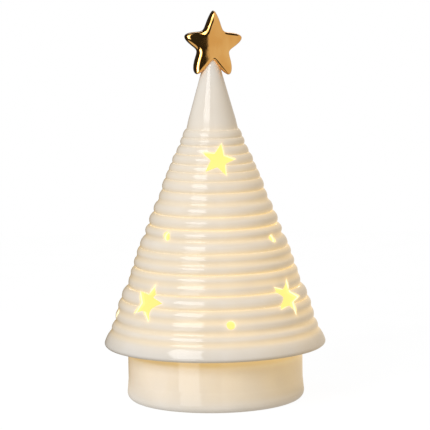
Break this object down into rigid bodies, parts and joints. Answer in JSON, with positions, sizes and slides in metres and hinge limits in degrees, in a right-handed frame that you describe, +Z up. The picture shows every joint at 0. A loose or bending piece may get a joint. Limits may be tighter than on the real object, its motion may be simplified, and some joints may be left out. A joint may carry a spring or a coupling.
{
  "type": "ceramic christmas tree",
  "caption": "Glazed porcelain Christmas tree lantern with a ridged lift-off cone, star and dot cut-outs, a gold star on its tip and an electric tealight in its base.",
  "frame": {"origin": "centre of the underside, on the plane that the foot ring stands on", "axes": "+Z up along the tree's axis, +Y towards the back, +X towards the viewer's right; the front with the upper star cut-out faces -Y"},
  "size_m": [0.1254, 0.1254, 0.2191],
  "materials": {
    "porcelain": "cream porcelain under a clear gloss glaze, thin enough to glow when lit from inside",
    "gold_glaze": "gold lustre over glaze, mirror bright",
    "white_plastic": "moulded satin white",
    "flame_plastic": "translucent warm white, lit from inside",
    "lamp_lens": "clear epoxy lens",
    "board_green": "green solder mask",
    "steel": "plated steel",
    "nickel": "nickel-plated spring strip",
    "black_plastic": "moulded black"
  },
  "bodies": {
    "base": {"base_bowl": "porcelain"},
    "shade": {"tree_shade": "porcelain", "gold_star": "gold_glaze"},
    "tealight": {"tealight_housing": "white_plastic", "flame_diffuser": "flame_plastic", "led_lamp": "lamp_lens", "circuit_board": "board_green", "board_screws": "steel", "coin_cell": "steel", "contact_negative": "nickel", "contact_positive": "nickel", "switch_case": "black_plastic", "bottom_cover": "white_plastic", "cover_screws": "steel", "battery_door": "white_plastic", "door_screw": "steel"},
    "switch": {"switch_slider": "black_plastic"}
  },
  "joints": [
    {"name": "shade_lift", "type": "slide", "parent": "base", "child": "shade", "axis": [0, 0, 1], "range_m": [0, 0.06]},
    {"name": "tealight_lift", "type": "slide", "parent": "base", "child": "tealight", "axis": [0, 0, 1], "range_m": [0, 0.04]},
    {"name": "switch_slide", "type": "slide", "parent": "tealight", "child": "switch", "axis": [0, 1, 0], "range_m": [-0.0025, 0]}
  ]
}
